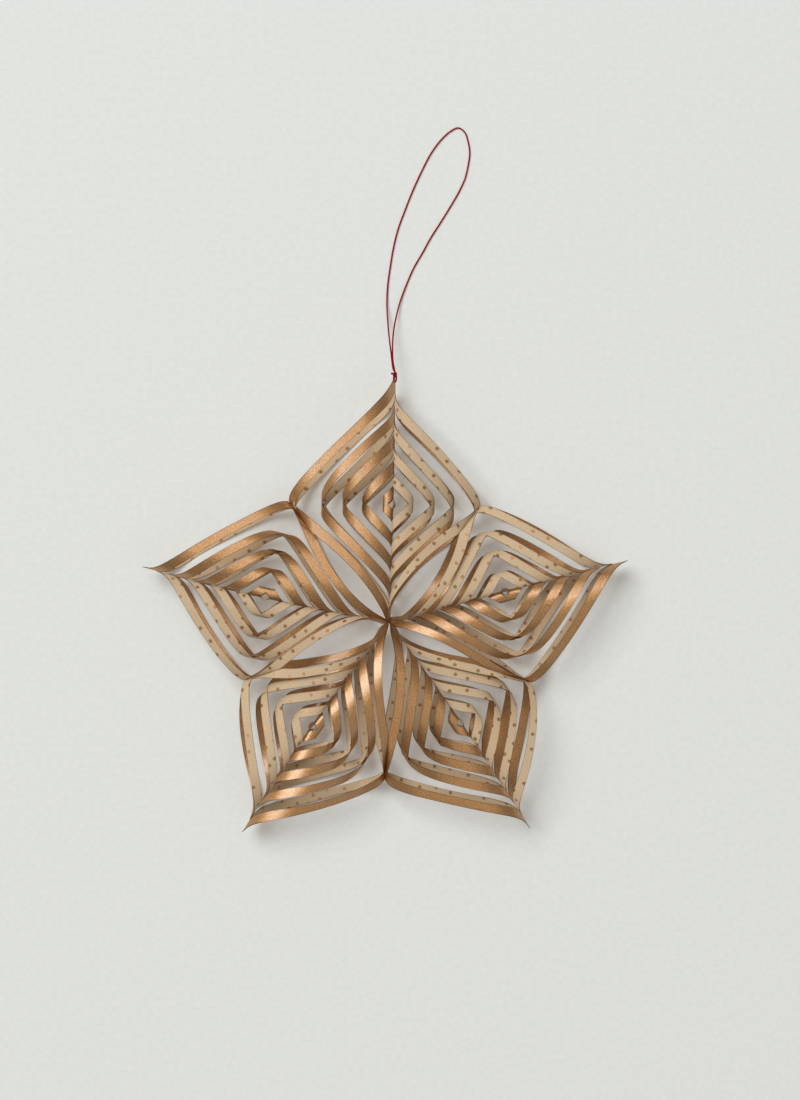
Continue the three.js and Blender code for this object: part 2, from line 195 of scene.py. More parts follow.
# The thread, close to its solid's route: X and Y from the knot in millimetres, and the share of the
# knot's height at which it runs. By the knot one leg lies over the other.
THREAD = 0.8 * MM
LAY_HEIGHT = 0.45 * MM
ROUTE_STEP = 0.28 * MM
THREAD_ROUTE = [
    (-0.8, 1.5, 0.96), (-1.35, 4.8, 0.94), (-1.85, 9.3, 0.86), (-2.6, 15.7, 0.62), (-3.3, 23.9, 0.26),
    (-3.7, 32.1, 0.06), (-3.3, 40.3, 0.01), (-2.3, 47.6, 0), (-0.8, 56.7, 0), (1.5, 65.8, 0),
    (4.2, 73.1, 0), (7.4, 81.3, 0), (11.5, 90.4, 0), (16.0, 99.1, 0), (20.6, 105.4, 0),
    (24.7, 109.2, 0), (28.4, 110.9, 0), (31.3, 109.0, 0), (32.9, 104.6, 0), (33.6, 99.5, 0),
    (32.9, 94.1, 0), (31.5, 88.2, 0), (28.8, 82.2, 0), (25.1, 75.8, 0), (20.6, 68.5, 0),
    (16.0, 61.3, 0), (12.5, 54.9, 0), (8.3, 47.6, 0), (5.1, 40.3, 0.01), (2.4, 33.0, 0.06),
    (0.5, 25.7, 0.22), (-0.75, 18.4, 0.52), (-1.15, 11.1, 0.85), (-0.9, 4.8, 1), (-0.3, 1.5, 1),
]

# The yarn's plies: their number and sides, and their radius and the length of one twist as ratios
# of the yarn's diameter.
PLIES = 3
PLY_SIDES = 6
PLY_RATIO = 0.34
LAY_RATIO = 3.4

# The eye passes the paper this far inside the top petal's tip. Towards the knot it is drawn in by
# this share and stays open.
HOLE_INSET = 2 * MM
EYE_LENGTH = 3.8 * MM
EYE_WIDTH = 1.5 * MM
EYE_DRAWN_IN = 0.45
EYE_GAP = math.radians(4)
EYE_STEPS = 48

# The knot: wraps that taper to their ends, with their middle set back towards the tip, and the cut
# end beside them. The loop's legs go this ratio of their way to the knot's middle, so past it.
KNOT_RADIUS = 0.85 * MM
LEG_RUNS_IN = 1.3
WRAP_RADIUS = 0.66 * MM
WRAP_TAPER = 0.25
WRAP_LENGTH = 2.1 * MM
WRAP_SETS_BACK = 1.15 * MM
WRAP_TURNS = 2.75
WRAP_STEPS = 66
STUB_RISE = math.radians(45)
STUB_SETS_BACK = 0.6 * MM
STUB_START = 0.3 * MM
STUB_LENGTH = 1.9 * MM
STUB_STEPS = 11
STUB_SWELL = 1.25

# The oval film of glue between two side corners. Its profile lists places across it and its size
# there, as shares of its half thickness and of its half length and height.
FILM_HALF_THICKNESS = 0.06 * MM
FILM_HALF_LENGTH = 1.9 * MM
FILM_HALF_HEIGHT = 1.3 * MM
FILM_PROFILE = ((-1, 0.86), (-0.5, 1), (0.5, 1), (1, 0.86))
FILM_SIDES = 20

# The drop of glue in the hub, with a lobe for each petal.
DROP_RADIUS = 0.5 * MM
DROP_HALF_HEIGHT = 1.4 * MM
DROP_LOBES = 5
LOBE_SHARE = 0.12
DROP_RINGS = 10
DROP_SIDES = 18

# The photograph's frame in pixels, with the hub at this pixel and this scale at its height. The
# camera looks straight down from this many metres above the hub. Its sensor is in millimetres.
PHOTO_WIDTH = 800
PHOTO_HEIGHT = 1100
HUB_PIXEL = (389, 622)
PIXEL = 0.4466 * MM
CAMERA_RANGE = 1.15
SENSOR = 36

# The board that the star lies on, and the point that the lamps are aimed at, in metres.
FLOOR_HALF_SIDE = 3.0
LAMP_AIM = Vector((0, 0.02, 0))


def make_camera():
    """A camera over the star that frames it as the photograph does."""
    data = bpy.data.cameras.new("camera")
    data.sensor_fit = "VERTICAL"
    data.sensor_height = SENSOR
    data.lens = SENSOR * CAMERA_RANGE / (PHOTO_HEIGHT * PIXEL)
    camera = bpy.data.objects.new("camera", data)
    bpy.context.collection.objects.link(camera)
    across = HUB.x + (PHOTO_WIDTH / 2 - HUB_PIXEL[0]) * PIXEL
    up = HUB.y + (HUB_PIXEL[1] - PHOTO_HEIGHT / 2) * PIXEL
    camera.location = (across, up, HUB.z + CAMERA_RANGE)
    camera.rotation_euler = (0, 0, 0)
    bpy.context.scene.camera = camera


def new_object(name, vertices, faces, materials, body, face_materials=None):
    mesh = bpy.data.meshes.new(name)
    mesh.from_pydata([tuple(vertex) for vertex in vertices], [], faces)
    for material in materials:
        mesh.materials.append(material)
    if face_materials is not None:
        mesh.polygons.foreach_set("material_index", face_materials)
    mesh.polygons.foreach_set("use_smooth", [True] * len(mesh.polygons))
    mesh.update()
    piece = bpy.data.objects.new(name, mesh)
    bpy.context.collection.objects.link(piece)
    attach(piece, body)
    return piece


class Nodes:
    """A material's node tree with short calls for its nodes and links."""

    def __init__(self, name):
        self.material = bpy.data.materials.new(name)
        self.material.use_nodes = True
        self.tree = self.material.node_tree
        self.tree.nodes.clear()
        output = self.add("ShaderNodeOutputMaterial")
        self.shader = self.add("ShaderNodeBsdfPrincipled")
        self.link(self.shader, "BSDF", output, "Surface")

    def add(self, kind, inputs=None, **settings):
        node = self.tree.nodes.new(kind)
        for key, value in settings.items():
            setattr(node, key, value)
        for key, value in (inputs or {}).items():
            node.inputs[key].default_value = value
        return node

    def link(self, source, output, target, socket):
        self.tree.links.new(source.outputs[output], target.inputs[socket])

    def ramp(self, source, output, stops):
        ramp = self.add("ShaderNodeValToRGB")
        elements = ramp.color_ramp.elements
        while len(elements) < len(stops):
            elements.new(0.5)
        for element, (place, color) in zip(elements, stops):
            element.position = place
            element.color = color if len(color) == 4 else (*color, 1)
        self.link(source, output, ramp, "Fac")
        return ramp


def grey(value):
    return (value, value, value, 1)


def slit_shade_ramp(nodes, place):
    """White in the middle of a strip and brown along the slits, as painted shade between strips."""
    parts = nodes.add("ShaderNodeSeparateXYZ")
    nodes.link(place, "UV", parts, "Vector")
    spread = []
    for axis in ("X", "Y"):
        size = nodes.add("ShaderNodeMath", operation="ABSOLUTE")
        nodes.link(parts, axis, size, 0)
        spread.append(size)
    across = nodes.add("ShaderNodeMath", operation="ADD")
    nodes.link(spread[0], "Value", across, 0)
    nodes.link(spread[1], "Value", across, 1)
    inward = nodes.add("ShaderNodeMath", {0: HALF_DIAGONAL}, operation="SUBTRACT")
    nodes.link(across, "Value", inward, 1)
    rings = nodes.add("ShaderNodeMath", {1: RING_PITCH}, operation="DIVIDE")
    nodes.link(inward, "Value", rings, 0)
    near = nodes.add("ShaderNodeMath", {1: 0.5}, operation="PINGPONG")
    nodes.link(rings, "Value", near, 0)
    # The brown at the slits is painted shade of the narrow gaps between strips.
    stops = [(SLIT / STRIP / 2, (0.34, 0.2, 0.11)), (SLIT_SHADE_SHARE, grey(1))]
    return nodes.ramp(near, "Value", stops)


def shaded_at_slits(nodes, place, color, output="Color"):
    """A colour darkened along the slits with painted shade of the gaps between strips."""
    mix = nodes.add("ShaderNodeMix", {"Factor": 1.0}, data_type="RGBA", blend_type="MULTIPLY")
    nodes.link(color, output, mix, "A")
    nodes.link(slit_shade_ramp(nodes, place), "Color", mix, "B")
    return mix


def bronze_material():
    """Satin metallic ink on paper, with a fine grain that breaks the shine under a thin coat."""
    nodes = Nodes("bronze_face")
    shader = nodes.shader
    shader.inputs["Metallic"].default_value = 0.82
    shader.inputs["Coat Weight"].default_value = 0.45
    shader.inputs["Coat Roughness"].default_value = 0.3
    shader.inputs["Coat IOR"].default_value = 2.3
    shader.inputs["Specular Tint"].default_value = (0.9, 0.62, 0.36, 1)
    place = nodes.add("ShaderNodeUVMap", uv_map="sheet")
    grain = nodes.add("ShaderNodeTexNoise", {"Scale": 1400.0, "Detail": 4.0, "Roughness": 0.75})
    nodes.link(place, "UV", grain, "Vector")
    cloud = nodes.add("ShaderNodeTexNoise", {"Scale": 160.0, "Detail": 2.0})
    nodes.link(place, "UV", cloud, "Vector")
    color = nodes.ramp(grain, "Fac", [(0.37, (0.345, 0.16, 0.047)), (0.63, (0.63, 0.341, 0.129))])
    # Painted shade along the slits darkens the ink's colour.
    nodes.link(shaded_at_slits(nodes, place, color), "Result", shader, "Base Color")
    rough = nodes.ramp(cloud, "Fac", [(0.3, grey(0.33)), (0.75, grey(0.44))])
    nodes.link(rough, "Color", shader, "Roughness")
    bump = nodes.add("ShaderNodeBump", {"Strength": 1.0, "Distance": 0.00022})
    nodes.link(grain, "Fac", bump, "Height")
    nodes.link(bump, "Normal", shader, "Normal")
    return nodes.material


def printed_material():
    """Matt cream paper with small scattered copper dots."""
    nodes = Nodes("printed_face")
    shader = nodes.shader
    place = nodes.add("ShaderNodeUVMap", uv_map="sheet")
    dots = nodes.add(
        "ShaderNodeTexVoronoi",
        {"Scale": 1 / DOT_PITCH, "Randomness": 0.6},
        voronoi_dimensions="2D",
        feature="F1",
    )
    nodes.link(place, "UV", dots, "Vector")
    ink = nodes.ramp(dots, "Distance", [(0.13, grey(1)), (0.155, grey(0))])
    fibres = nodes.add("ShaderNodeTexNoise", {"Scale": 1500.0, "Detail": 4.0, "Roughness": 0.65})
    nodes.link(place, "UV", fibres, "Vector")
    paper = nodes.ramp(fibres, "Fac", [(0.3, (0.55, 0.4, 0.24)), (0.7, (0.73, 0.553, 0.358))])
    color = nodes.add("ShaderNodeMix", {"B": (0.4, 0.222, 0.1, 1)}, data_type="RGBA")
    nodes.link(ink, "Color", color, "Factor")
    nodes.link(paper, "Color", color, "A")
    # Painted shade along the slits darkens the paper and its dots.
    nodes.link(shaded_at_slits(nodes, place, color, "Result"), "Result", shader, "Base Color")
    metal = nodes.add("ShaderNodeMath", {1: 0.5}, operation="MULTIPLY")
    nodes.link(ink, "Color", metal, 0)
    nodes.link(metal, "Value", shader, "Metallic")
    rough = nodes.ramp(ink, "Color", [(0.0, grey(0.62)), (1.0, grey(0.4))])
    nodes.link(rough, "Color", shader, "Roughness")
    bump = nodes.add("ShaderNodeBump", {"Strength": 0.2, "Distance": 0.00005})
    nodes.link(fibres, "Fac", bump, "Height")
    nodes.link(bump, "Normal", shader, "Normal")
    return nodes.material


def edge_material():
    """Cut edge of the paper, darker than its two faces."""
    nodes = Nodes("paper_edge")
    place = nodes.add("ShaderNodeUVMap", uv_map="sheet")
    fibres = nodes.add("ShaderNodeTexNoise", {"Scale": 2200.0, "Detail": 3.0})
    nodes.link(place, "UV", fibres, "Vector")
    color = nodes.ramp(fibres, "Fac", [(0.3, (0.09, 0.038, 0.013)), (0.7, (0.18, 0.085, 0.034))])
    nodes.link(color, "Color", nodes.shader, "Base Color")
    nodes.shader.inputs["Roughness"].default_value = 0.75
    nodes.shader.inputs["Specular IOR Level"].default_value = 0.0
    return nodes.material


def glue_material():
    nodes = Nodes("dried_glue")
    place = nodes.add("ShaderNodeTexCoord")
    cloud = nodes.add("ShaderNodeTexNoise", {"Scale": 900.0, "Detail": 2.0})
    nodes.link(place, "Object", cloud, "Vector")
    color = nodes.ramp(cloud, "Fac", [(0.3, (0.33, 0.22, 0.12)), (0.7, (0.48, 0.35, 0.21))])
    nodes.link(color, "Color", nodes.shader, "Base Color")
    nodes.shader.inputs["Roughness"].default_value = 0.3
    return nodes.material


def thread_material():
    nodes = Nodes("red_thread")
    place = nodes.add("ShaderNodeTexCoord")
    fluff = nodes.add("ShaderNodeTexNoise", {"Scale": 3500.0, "Detail": 4.0, "Roughness": 0.7})
    nodes.link(place, "Object", fluff, "Vector")
    color = nodes.ramp(fluff, "Fac", [(0.3, (0.17, 0.002, 0.005)), (0.7, (0.52, 0.005, 0.015))])
    nodes.link(color, "Color", nodes.shader, "Base Color")
    nodes.shader.inputs["Roughness"].default_value = 0.65
    nodes.shader.inputs["Specular IOR Level"].default_value = 0.1
    bump = nodes.add("ShaderNodeBump", {"Strength": 0.35, "Distance": 0.00005})
    nodes.link(fluff, "Fac", bump, "Height")
    nodes.link(bump, "Normal", nodes.shader, "Normal")
    return nodes.material


def floor_material():
    """Pale matt board with a faint tooth.

    Where it is seen or mirrored it glows a little, which keeps its shadows as light as the
    photograph's. That glow doesn't light matt surfaces.
    """
    nodes = Nodes("pale_board")
    place = nodes.add("ShaderNodeTexCoord")
    tooth = nodes.add("ShaderNodeTexNoise", {"Scale": 420.0, "Detail": 5.0, "Roughness": 0.6})
    nodes.link(place, "Object", tooth, "Vector")
    seen = nodes.ramp(tooth, "Fac", [(0.3, (0.675, 0.733, 0.746)), (0.7, (0.725, 0.783, 0.796))])
    path = nodes.add("ShaderNodeLightPath")
    mirrored = nodes.add("ShaderNodeMath", operation="MAXIMUM")
    nodes.link(path, "Is Glossy Ray", mirrored, 0)
    nodes.link(path, "Is Transmission Ray", mirrored, 1)
    shown = nodes.add("ShaderNodeMath", operation="MAXIMUM")
    nodes.link(path, "Is Camera Ray", shown, 0)
    nodes.link(mirrored, "Value", shown, 1)
    color = nodes.add("ShaderNodeMix", {"A": (0.8, 0.8, 0.78, 1)}, data_type="RGBA")
    nodes.link(shown, "Value", color, "Factor")
    nodes.link(seen, "Color", color, "B")
    nodes.link(color, "Result", nodes.shader, "Base Color")
    nodes.shader.inputs["Emission Color"].default_value = (1, 0.85, 0.72, 1)
    glow = nodes.add("ShaderNodeMath", {1: 0.15}, operation="MULTIPLY")
    nodes.link(shown, "Value", glow, 0)
    nodes.link(glow, "Value", nodes.shader, "Emission Strength")
    nodes.shader.inputs["Roughness"].default_value = 0.9
    nodes.shader.inputs["Specular IOR Level"].default_value = 0.2
    bump = nodes.add("ShaderNodeBump", {"Strength": 0.12, "Distance": 0.0002})
    nodes.link(tooth, "Fac", bump, "Height")
    nodes.link(bump, "Normal", nodes.shader, "Normal")
    return nodes.material


class Ring:
    """The square strip between two nested slits, and the section that half of it is curled to."""

    def __init__(self, index):
        outer = HALF_DIAGONAL - index * RING_PITCH
        self.index = index
        self.outer = outer - (HALF_SLIT if index else 0)
        self.inner = outer - RING_PITCH + HALF_SLIT
        self.is_centre = index == RING_COUNT - 1
        if self.is_centre:
            self.length = self.outer - CENTRE_BLUNT
            curl = self.length - SPINE_WEB
            self.pieces = [(SPINE_WEB, 0), (curl, curl / CENTRE_CURL_RADIUS)]
        else:
            self.length = (self.outer + self.inner) / 2
            self.pieces = self.closed_section()
        self.reach = self.section(self.length)[0]

    def closed_section(self):
        """Lengths of paper and their turns, from the spine back down to the spine's own height.

        The root rises as high with its ease as it would without it. The corner's radius follows from
        the height to come down and the paper that is left.
        """
        flat = max(SPINE_WEB, min(ROOT_FLAT, ROOT_FLAT_SHARE * self.length))
        share = INNERMOST_RADIUS_SHARE if self.index == RING_COUNT - 2 else ROOT_RADIUS_SHARE
        root = min(ROOT_RADIUS, share * self.length)
        rise = flat + root * math.cos(RUN_START_SLOPE)
        root_turn = math.pi / 2 + RUN_START_SLOPE - EASE_TURN
        top = math.cos(RUN_START_SLOPE)
        root *= top / (math.sin(root_turn) + EASE_RATIO * (top - math.sin(root_turn)))
        eased = EASE_RATIO * root * EASE_TURN
        run_turn = RUN_END_SLOPE - RUN_START_SLOPE
        shoulder_turn = SHOULDER_END_SLOPE - RUN_END_SLOPE
        corner_turn = math.pi / 2 - SHOULDER_END_SLOPE
        rest = self.length - flat - root * root_turn - eased
        fall = (math.cos(RUN_START_SLOPE) - math.cos(RUN_END_SLOPE)) / run_turn
        shoulder_fall = SHOULDER_RATIO * (math.cos(RUN_END_SLOPE) - math.cos(SHOULDER_END_SLOPE))
        corner_fall = math.cos(SHOULDER_END_SLOPE)
        bent = SHOULDER_RATIO * shoulder_turn + corner_turn
        corner = (rise - rest * fall) / (shoulder_fall + corner_fall - bent * fall)
        return [
            (flat, 0),
            (root * root_turn, root_turn),
            (eased, EASE_TURN),
            (rest - corner * bent, run_turn),
            (SHOULDER_RATIO * corner * shoulder_turn, shoulder_turn),
            (corner * corner_turn, corner_turn),
        ]

    def section(self, distance):
        """Sideways distance and height after a length of paper.

        Past the corner it goes on along the other half, which it is glued to.
        """
        over = not self.is_centre and distance > self.length
        if over:
            distance = 2 * self.length - distance
        side = height = heading = 0.0
        left = distance
        for size, turn in self.pieces:
            bend = turn / size
            step = min(left, size)
            turned = heading + step * bend
            if bend:
                side += (math.cos(heading) - math.cos(turned)) / bend
                height += (math.sin(turned) - math.sin(heading)) / bend
            else:
                side += step * math.sin(heading)
                height += step * math.cos(heading)
            heading = turned
            left -= step
        return side, -height if over else height

    def rows(self, step):
        """Distances from the spine of the rows of points, past the corner to the strip's point."""
        end = self.length if self.is_centre else self.outer - POINT_STOP
        stops = [SPINE_WEB, end]
        if self.inner > SPINE_WEB:
            stops.insert(1, self.inner)
        rows = [SPINE_WEB]
        for low, high in zip(stops, stops[1:]):
            count = max(1, round((high - low) / step))
            rows += [low + (high - low) * i / count for i in range(1, count + 1)]
        return rows


RINGS = [Ring(index) for index in range(RING_COUNT)]


def direction(turn):
    """The level direction this many degrees clockwise from +Y."""
    angle = math.radians(turn)
    return Vector((math.sin(angle), math.cos(angle), 0))


def soft_min(value, limit, blend):
    """The lesser of the two, rounded where they meet unless there is no blend."""
    if blend < NO_BLEND:
        return min(value, limit)
    return min(value, limit) - blend * math.log1p(math.exp(-abs(value - limit) / blend))


class Petal:
    """A slit sheet's points in space, drawn to its two glued side corners."""

    def __init__(self, place):
        facts = PETALS[place]
        self.name = facts["name"]
        self.turn = facts["turn"]
        self.tip = facts["reach"] * SHEET_SIDE
        self.bow = facts["bow"] * SHEET_SIDE
        self.lean = facts["lean"]
        self.bronze = facts["bronze"]
        self.tip_opens = TIP_OPENS[self.name]
        self.tip_rolls = TIP_ROLLS.get(self.name, 0.0)
        self.hub_rolls = HUB_ROLLS[self.name]
        self.spread = SPREADS.get(self.name, 0.0)
        self.hub_end = HUB_ENDS.get(self.name, HUB_END)
        self.short = max(0.0, self.tip - 2 * HALF_DIAGONAL - self.hub_end)
        self.out = direction(self.turn)
        self.clockwise = direction(self.turn + 90)
        self.sides = {}
        for side, joint in ((1, JOINTS[place]), (-1, JOINTS[place - 1])):
            angle = math.radians((side * (joint["turn"] - self.turn)) % 360)
            radius = joint["radius"] * SHEET_SIDE
            outermost = RINGS[0 if side == self.bronze else 1]
            corner = radius * math.sin(angle)
            shift = radius * math.cos(angle) - (self.tip - HALF_DIAGONAL)
            self.sides[side] = (angle, joint["lean"], outermost, corner, shift)

    def side_of(self, ring):
        return self.bronze if ring.index % 2 == 0 else -self.bronze

    def rolled(self, ring, along, sideways, height):
        """A place in the section turned about the spine, most at the tip and at the hub."""
        if along > 0:
            fade = (along / HALF_DIAGONAL) ** TIP_POWER
            turned = math.copysign(self.tip_opens, height)
            if ring.index == 0:
                turned += self.tip_rolls
        else:
            fade = (-along / HALF_DIAGONAL) ** HUB_POWER
            turned = self.side_of(ring) * self.bronze * self.hub_rolls
        turned *= fade
        return sideways * math.cos(turned) + height * math.sin(turned), height * math.cos(turned)

    def point(self, ring, along, across):
        """Where a point of the flat sheet goes: along is measured on the spine from the sheet's
        middle to the outer tip, across is the signed distance from the spine, up on the near half."""
        side = self.side_of(ring)
        angle, lean, outermost, corner, shift = self.sides[side]
        lean_out, lean_over = self.lean
        lean_over += side * self.spread
        distance = abs(across)
        sideways, height = ring.section(distance)
        share = sideways / outermost.reach
        height *= math.copysign(1, across)
        sideways, height = self.rolled(ring, along, sideways, height)

        twist = outer_bow = 0.0
        if ring is outermost:
            held = OUTERMOST_LEANS.get((self.name, ring.index), (1.0, 1.0))[0 if along > 0 else 1]
            lean_over *= held
            lean_out *= held
            nearness = min(distance, 2 * ring.length - distance) / ring.length
            twist = angle * nearness**TWIST_SHARPNESS
            outer_bow = OUTER_BOW * (1 - along / HALF_DIAGONAL) * share * (1 - share)

        # Across the spine, stretched to reach the glued corner.
        middle = 1 - (along / HALF_DIAGONAL) ** 2
        stretched = sideways * (1 + (corner / outermost.reach - 1) * share)
        bow = side * middle * (lean_over * height - self.bronze * self.bow)
        if ring is outermost:
            bow *= 1 - share**CORNER_HOLD
        phase = self.turn + WANDER_RING_SHIFT * ring.index + math.copysign(WANDER_HALF_SHIFT, across)
        phase += along / WANDER_LENGTH
        wander = 4 * WANDER * math.sin(phase) * share * max(0, 1 - share)
        wide = stretched + along * math.sin(twist) + bow + wander

        # Along the spine, drawn to the glued corner and, where the sheet falls short, to the hub.
        drawn = shift * share * share + outer_bow
        travel = along * math.cos(twist) + drawn + lean_out * height * middle
        if along < 0:
            travel -= self.short * (-along / HALF_DIAGONAL) ** HUB_POWER
        from_hub = travel + self.tip - HALF_DIAGONAL

        # Kept on its own side of the line from the hub through the glued corner.
        kept = side * lean * height - HALF_GAP - PAPER / 2
        limit = from_hub * math.tan(angle) + kept / math.cos(angle)
        clockwise = side * soft_min(wide, limit, PRESS_BLEND * share)
        spot = HUB + self.out * from_hub + self.clockwise * clockwise
        spot.z = HUB.z + height
        return spot

    def normal(self, ring, along, across):
        step = NORMAL_STEP
        up = self.point(ring, along, across + step) - self.point(ring, along, across - step)
        out = self.point(ring, along + step, across) - self.point(ring, along - step, across)
        return up.cross(out).normalized()


class SheetMesh:
    """Points of the slit sheet with their places in the flat sheet, and faces in one turning sense."""

    def __init__(self, petal):
        self.petal = petal
        self.spots = []
        self.normals = []
        self.flat = []
        self.faces = []
        # Where the sheet is long enough it is cut off at the hub.
        self.hub_cut = petal.tip - HALF_DIAGONAL - petal.hub_end
        roots = []
        for ring in RINGS:
            near = [self.row(ring, distance, 1) for distance in ring.rows(ROW_STEP)]
            far = [self.row(ring, distance, -1) for distance in ring.rows(ROW_STEP)]
            for low, high in zip(near, near[1:]):
                self.join(low, high)
            for high, low in zip(far, far[1:]):
                self.join(low, high)
            roots.append((far[0], near[0]))
        far = self.spine([root[0] for root in roots])
        near = self.spine([root[1] for root in roots])
        for i in range(len(far) - 1):
            self.faces.append((far[i], near[i], near[i + 1], far[i + 1]))
        tip = self.add(RINGS[0], RINGS[0].outer, 0)
        self.faces.append((far[-1], near[-1], tip))

    def add(self, ring, along, across):
        """A point. Near and past the glued corner the strip's two halves lie face to face, so each
        stands up to half a paper's thickness to its own side."""
        kept = max(along, -self.hub_cut)
        petal = self.petal
        spot = petal.point(ring, kept, across)
        normal = petal.normal(ring, kept, across)
        past = abs(across) - (ring.length - RING_PITCH / 2)
        if not ring.is_centre and past > 0:
            layer = min(1, past / (RING_PITCH / 2)) * PAPER / 2
            spot = spot + normal * (petal.side_of(ring) * math.copysign(layer, across))
        self.spots.append(spot)
        self.normals.append(normal)
        self.flat.append((kept, across))
        return len(self.spots) - 1

    def row(self, ring, distance, half):
        """Points across a ring at a distance from the spine, from the hub's side to the tip's."""
        outer = ring.outer - distance
        inner = ring.inner - distance
        lanes = [i / STRIP_LANES for i in range(STRIP_LANES + 1)]
        if inner > NO_GAP:
            alongs = [-outer + (outer - inner) * lane for lane in lanes]
            alongs += [inner + (outer - inner) * lane for lane in lanes]
        else:
            alongs = [-outer * (1 - lane) for lane in lanes] + [outer * lane for lane in lanes[1:]]
        return [self.add(ring, along, half * distance) for along in alongs]

    def join(self, low, high):
        """Faces between two rows, the first nearer the far side of the sheet."""
        lanes = STRIP_LANES
        for row_low, row_high in (
            (low[: lanes + 1], high[: lanes + 1]),
            (low[-lanes - 1 :], high[-lanes - 1 :]),
        ):
            for i in range(lanes):
                self.faces.append((row_low[i], row_high[i], row_high[i + 1], row_low[i + 1]))

    def spine(self, rows):
        """The rings' rows by the spine put in order from the hub to the tip."""
        half = STRIP_LANES + 1
        hub_side = [spot for row in rows[:-1] for spot in row[:half]]
        tip_side = [spot for row in reversed(rows[:-1]) for spot in row[half:]]
        return hub_side + rows[-1] + tip_side


def make_petal(place, materials):
    """Two faces of paper, bronze and printed, closed by their cut edges."""
    petal = Petal(place)
    sheet = SheetMesh(petal)
    count = len(sheet.spots)
    lift = PAPER / 2
    vertices = [spot + normal * lift for spot, normal in zip(sheet.spots, sheet.normals)]
    vertices += [spot - normal * lift for spot, normal in zip(sheet.spots, sheet.normals)]
    front, back = BRONZE_FACE, PRINTED_FACE
    if petal.bronze < 0:
        front, back = back, front
    faces = []
    kinds = []
    edges = {}
    for face in sheet.faces:
        faces.append(face)
        kinds.append(front)
        faces.append(tuple(corner + count for corner in reversed(face)))
        kinds.append(back)
        for start, end in zip(face, face[1:] + face[:1]):
            edges[(start, end)] = True
    for start, end in edges:
        if (end, start) not in edges:
            faces.append((start + count, end + count, end, start))
            kinds.append(CUT_EDGE)
    piece = new_object(petal.name + "_paper", vertices, faces, materials, "star", kinds)
    mesh = piece.data
    flat = np.array(sheet.flat * 2)
    layer = mesh.uv_layers.new(name="sheet")
    corners = np.empty(len(mesh.loops), dtype=np.int64)
    mesh.loops.foreach_get("vertex_index", corners)
    layer.uv.foreach_set("vector", flat[corners].astype(np.float32).ravel())
    rims = {frozenset(pair) for pair in edges if (pair[1], pair[0]) not in edges}
    rims |= {frozenset(corner + count for corner in rim) for rim in rims}
    sharp = mesh.attributes.new("sharp_edge", "BOOLEAN", "EDGE")
    sharp.data.foreach_set("value", [frozenset(edge.vertices) in rims for edge in mesh.edges])
    mesh.update()
    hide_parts(petal.name)


def between(start, end, low, high, place):
    """The point at a place on the way from start at low to end at high, or past either."""
    return start * ((high - place) / (high - low)) + end * ((place - low) / (high - low))


def curve_through(points, step):
    """A centripetal Catmull-Rom curve through the points, as points about a step apart."""
    before_first = points[0] * 2 - points[1]
    after_last = points[-1] * 2 - points[-2]
    stops = [before_first, *points, after_last]
    line = []
    for before, start, end, after in zip(stops, stops[1:], stops[2:], stops[3:]):
        low = (start - before).length ** 0.5
        high = low + (end - start).length ** 0.5
        top = high + (after - end).length ** 0.5
        count = max(2, round((end - start).length / step))
        for i in range(count):
            place = low + (high - low) * i / count
            first = between(before, start, 0, low, place)
            middle = between(start, end, low, high, place)
            last = between(end, after, high, top, place)
            first = between(first, middle, 0, high, place)
            last = between(middle, last, low, top, place)
            line.append(between(first, last, low, high, place))
    line.append(points[-1].copy())
    return line


def tube_faces(rings, sides, start=0):
    """Faces of a closed tube whose rings of points follow each other from a place in the list."""
    faces = []
    for ring in range(rings - 1):
        for side in range(sides):
            here = start + ring * sides + side
            beside = start + ring * sides + (side + 1) % sides
            faces.append((here, beside, beside + sides, here + sides))
    faces.append(tuple(start + side for side in reversed(range(sides))))
    end = start + (rings - 1) * sides
    faces.append(tuple(end + side for side in range(sides)))
    return faces


def yarn(line, diameter):
    """Plies twisted round a line, as one mesh of closed tubes."""
    ply_radius = diameter * PLY_RATIO
    offset = diameter / 2 - ply_radius
    lay_length = diameter * LAY_RATIO
    tangents = [(end - start).normalized() for start, end in zip(line, line[1:])]
    tangents.append(tangents[-1])
    side = tangents[0].orthogonal().normalized()
    frames = []
    travelled = 0.0
    for i, spot in enumerate(line):
        tangent = tangents[i]
        side = (side - tangent * side.dot(tangent)).normalized()
        frames.append((spot, tangent, side, tangent.cross(side), travelled))
        if i + 1 < len(line):
            travelled += (line[i + 1] - spot).length
    vertices = []
    faces = []
    for ply in range(PLIES):
        faces += tube_faces(len(line), PLY_SIDES, len(vertices))
        for spot, tangent, across, up, gone in frames:
            turn = 2 * math.pi * (gone / lay_length + ply / PLIES)
            out = across * math.cos(turn) + up * math.sin(turn)
            centre = spot + out * offset
            other = tangent.cross(out)
            for corner in range(PLY_SIDES):
                angle = 2 * math.pi * corner / PLY_SIDES
                rim = out * math.cos(angle) + other * math.sin(angle)
                vertices.append(centre + rim * ply_radius)
    return vertices, faces


def loop_line(knot):
    """The loop's route from the knot and back to it, down to the table and round."""
    route = []
    for x, y, share in THREAD_ROUTE:
        height = LAY_HEIGHT + (HUB.z - LAY_HEIGHT) * share
        route.append(Vector((knot.x + x * MM, knot.y + y * MM, height)))
    route.insert(0, route[0] + (knot - route[0]) * LEG_RUNS_IN)
    route.append(route[-1] + (knot - route[-1]) * LEG_RUNS_IN)
    return curve_through(route, ROUTE_STEP)


